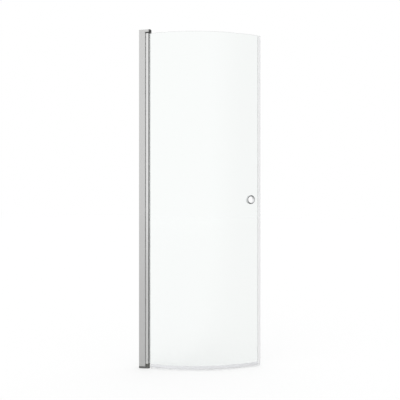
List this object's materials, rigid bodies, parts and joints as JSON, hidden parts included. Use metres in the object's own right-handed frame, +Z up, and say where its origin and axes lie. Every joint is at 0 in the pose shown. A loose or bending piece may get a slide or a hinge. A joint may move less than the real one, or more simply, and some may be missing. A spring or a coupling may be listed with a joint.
{
  "type": "pivot shower door",
  "caption": "Tall curved glass shower door on a round pivot column, with a wall profile, rising hinge, bottom seal, magnetic edge strip and a through-glass ring grip.",
  "frame": {"origin": "middle of the foot of the wall channel's back face, on the wall and at tray level", "axes": "+X away from the wall, along the closed door; -Y the dry side where the user stands; +Z up"},
  "size_m": [0.6901, 0.2334, 2],
  "materials": {
    "satin_aluminium": "satin anodised",
    "clear_glass": "clear toughened",
    "clear_plastic": "clear, slightly milky",
    "soft_clear_plastic": "soft, translucent",
    "grey_plastic": "fine texture",
    "acetal": "dark, smooth",
    "grey_rubber": "matt",
    "magnet": "matt, magnet-filled",
    "stainless": "turned",
    "chrome": "polished"
  },
  "bodies": {
    "wall": {"wall_channel": "satin_aluminium", "clamp_nuts": "stainless", "clamp_screws": "stainless", "clamp_screw_caps": "grey_plastic"},
    "frame": {"adjusting_profile": "satin_aluminium", "hinge_gap_seal": "grey_rubber", "top_arm": "satin_aluminium", "top_arm_nose": "grey_plastic", "top_arm_screws": "stainless", "top_pivot_bush": "acetal", "top_arm_plug": "grey_plastic", "bottom_bracket": "grey_plastic", "bottom_bracket_screws": "stainless", "fixed_cam": "acetal"},
    "spindle": {"top_pivot_pin": "stainless", "bottom_pivot_pin": "stainless"},
    "door": {"hinge_column": "satin_aluminium", "column_top_insert": "acetal", "cam_follower": "acetal", "column_screws": "stainless", "glass_gasket": "soft_clear_plastic", "glass_panel": "clear_glass", "bottom_seal_clip": "clear_plastic", "bottom_seal_lip": "soft_clear_plastic", "bottom_seal_end_cap": "soft_clear_plastic", "edge_profile": "clear_plastic", "magnet_strip": "magnet", "edge_profile_plugs": "soft_clear_plastic", "grip_ring_outside": "chrome", "grip_ring_inside": "chrome", "grip_sleeve": "chrome", "grip_pad_outside": "grey_rubber", "grip_pad_inside": "grey_rubber"}
  },
  "joints": [
    {"name": "width_adjust", "type": "slide", "parent": "wall", "child": "frame", "axis": [1, 0, 0], "range_m": [0, 0.012]},
    {"name": "door_swing", "type": "hinge", "parent": "frame", "child": "spindle", "pos_m": [0.049, 0, 0], "axis": [0, 0, -1], "range_deg": [0, 100]},
    {"name": "door_lift", "type": "slide", "parent": "spindle", "child": "door", "axis": [0, 0, 1], "range_m": [0, 0.0041]}
  ],
  "couplings": [
    {"joint": "door_lift", "follows": "door_swing", "m_per_rad": 0.0022918}
  ]
}
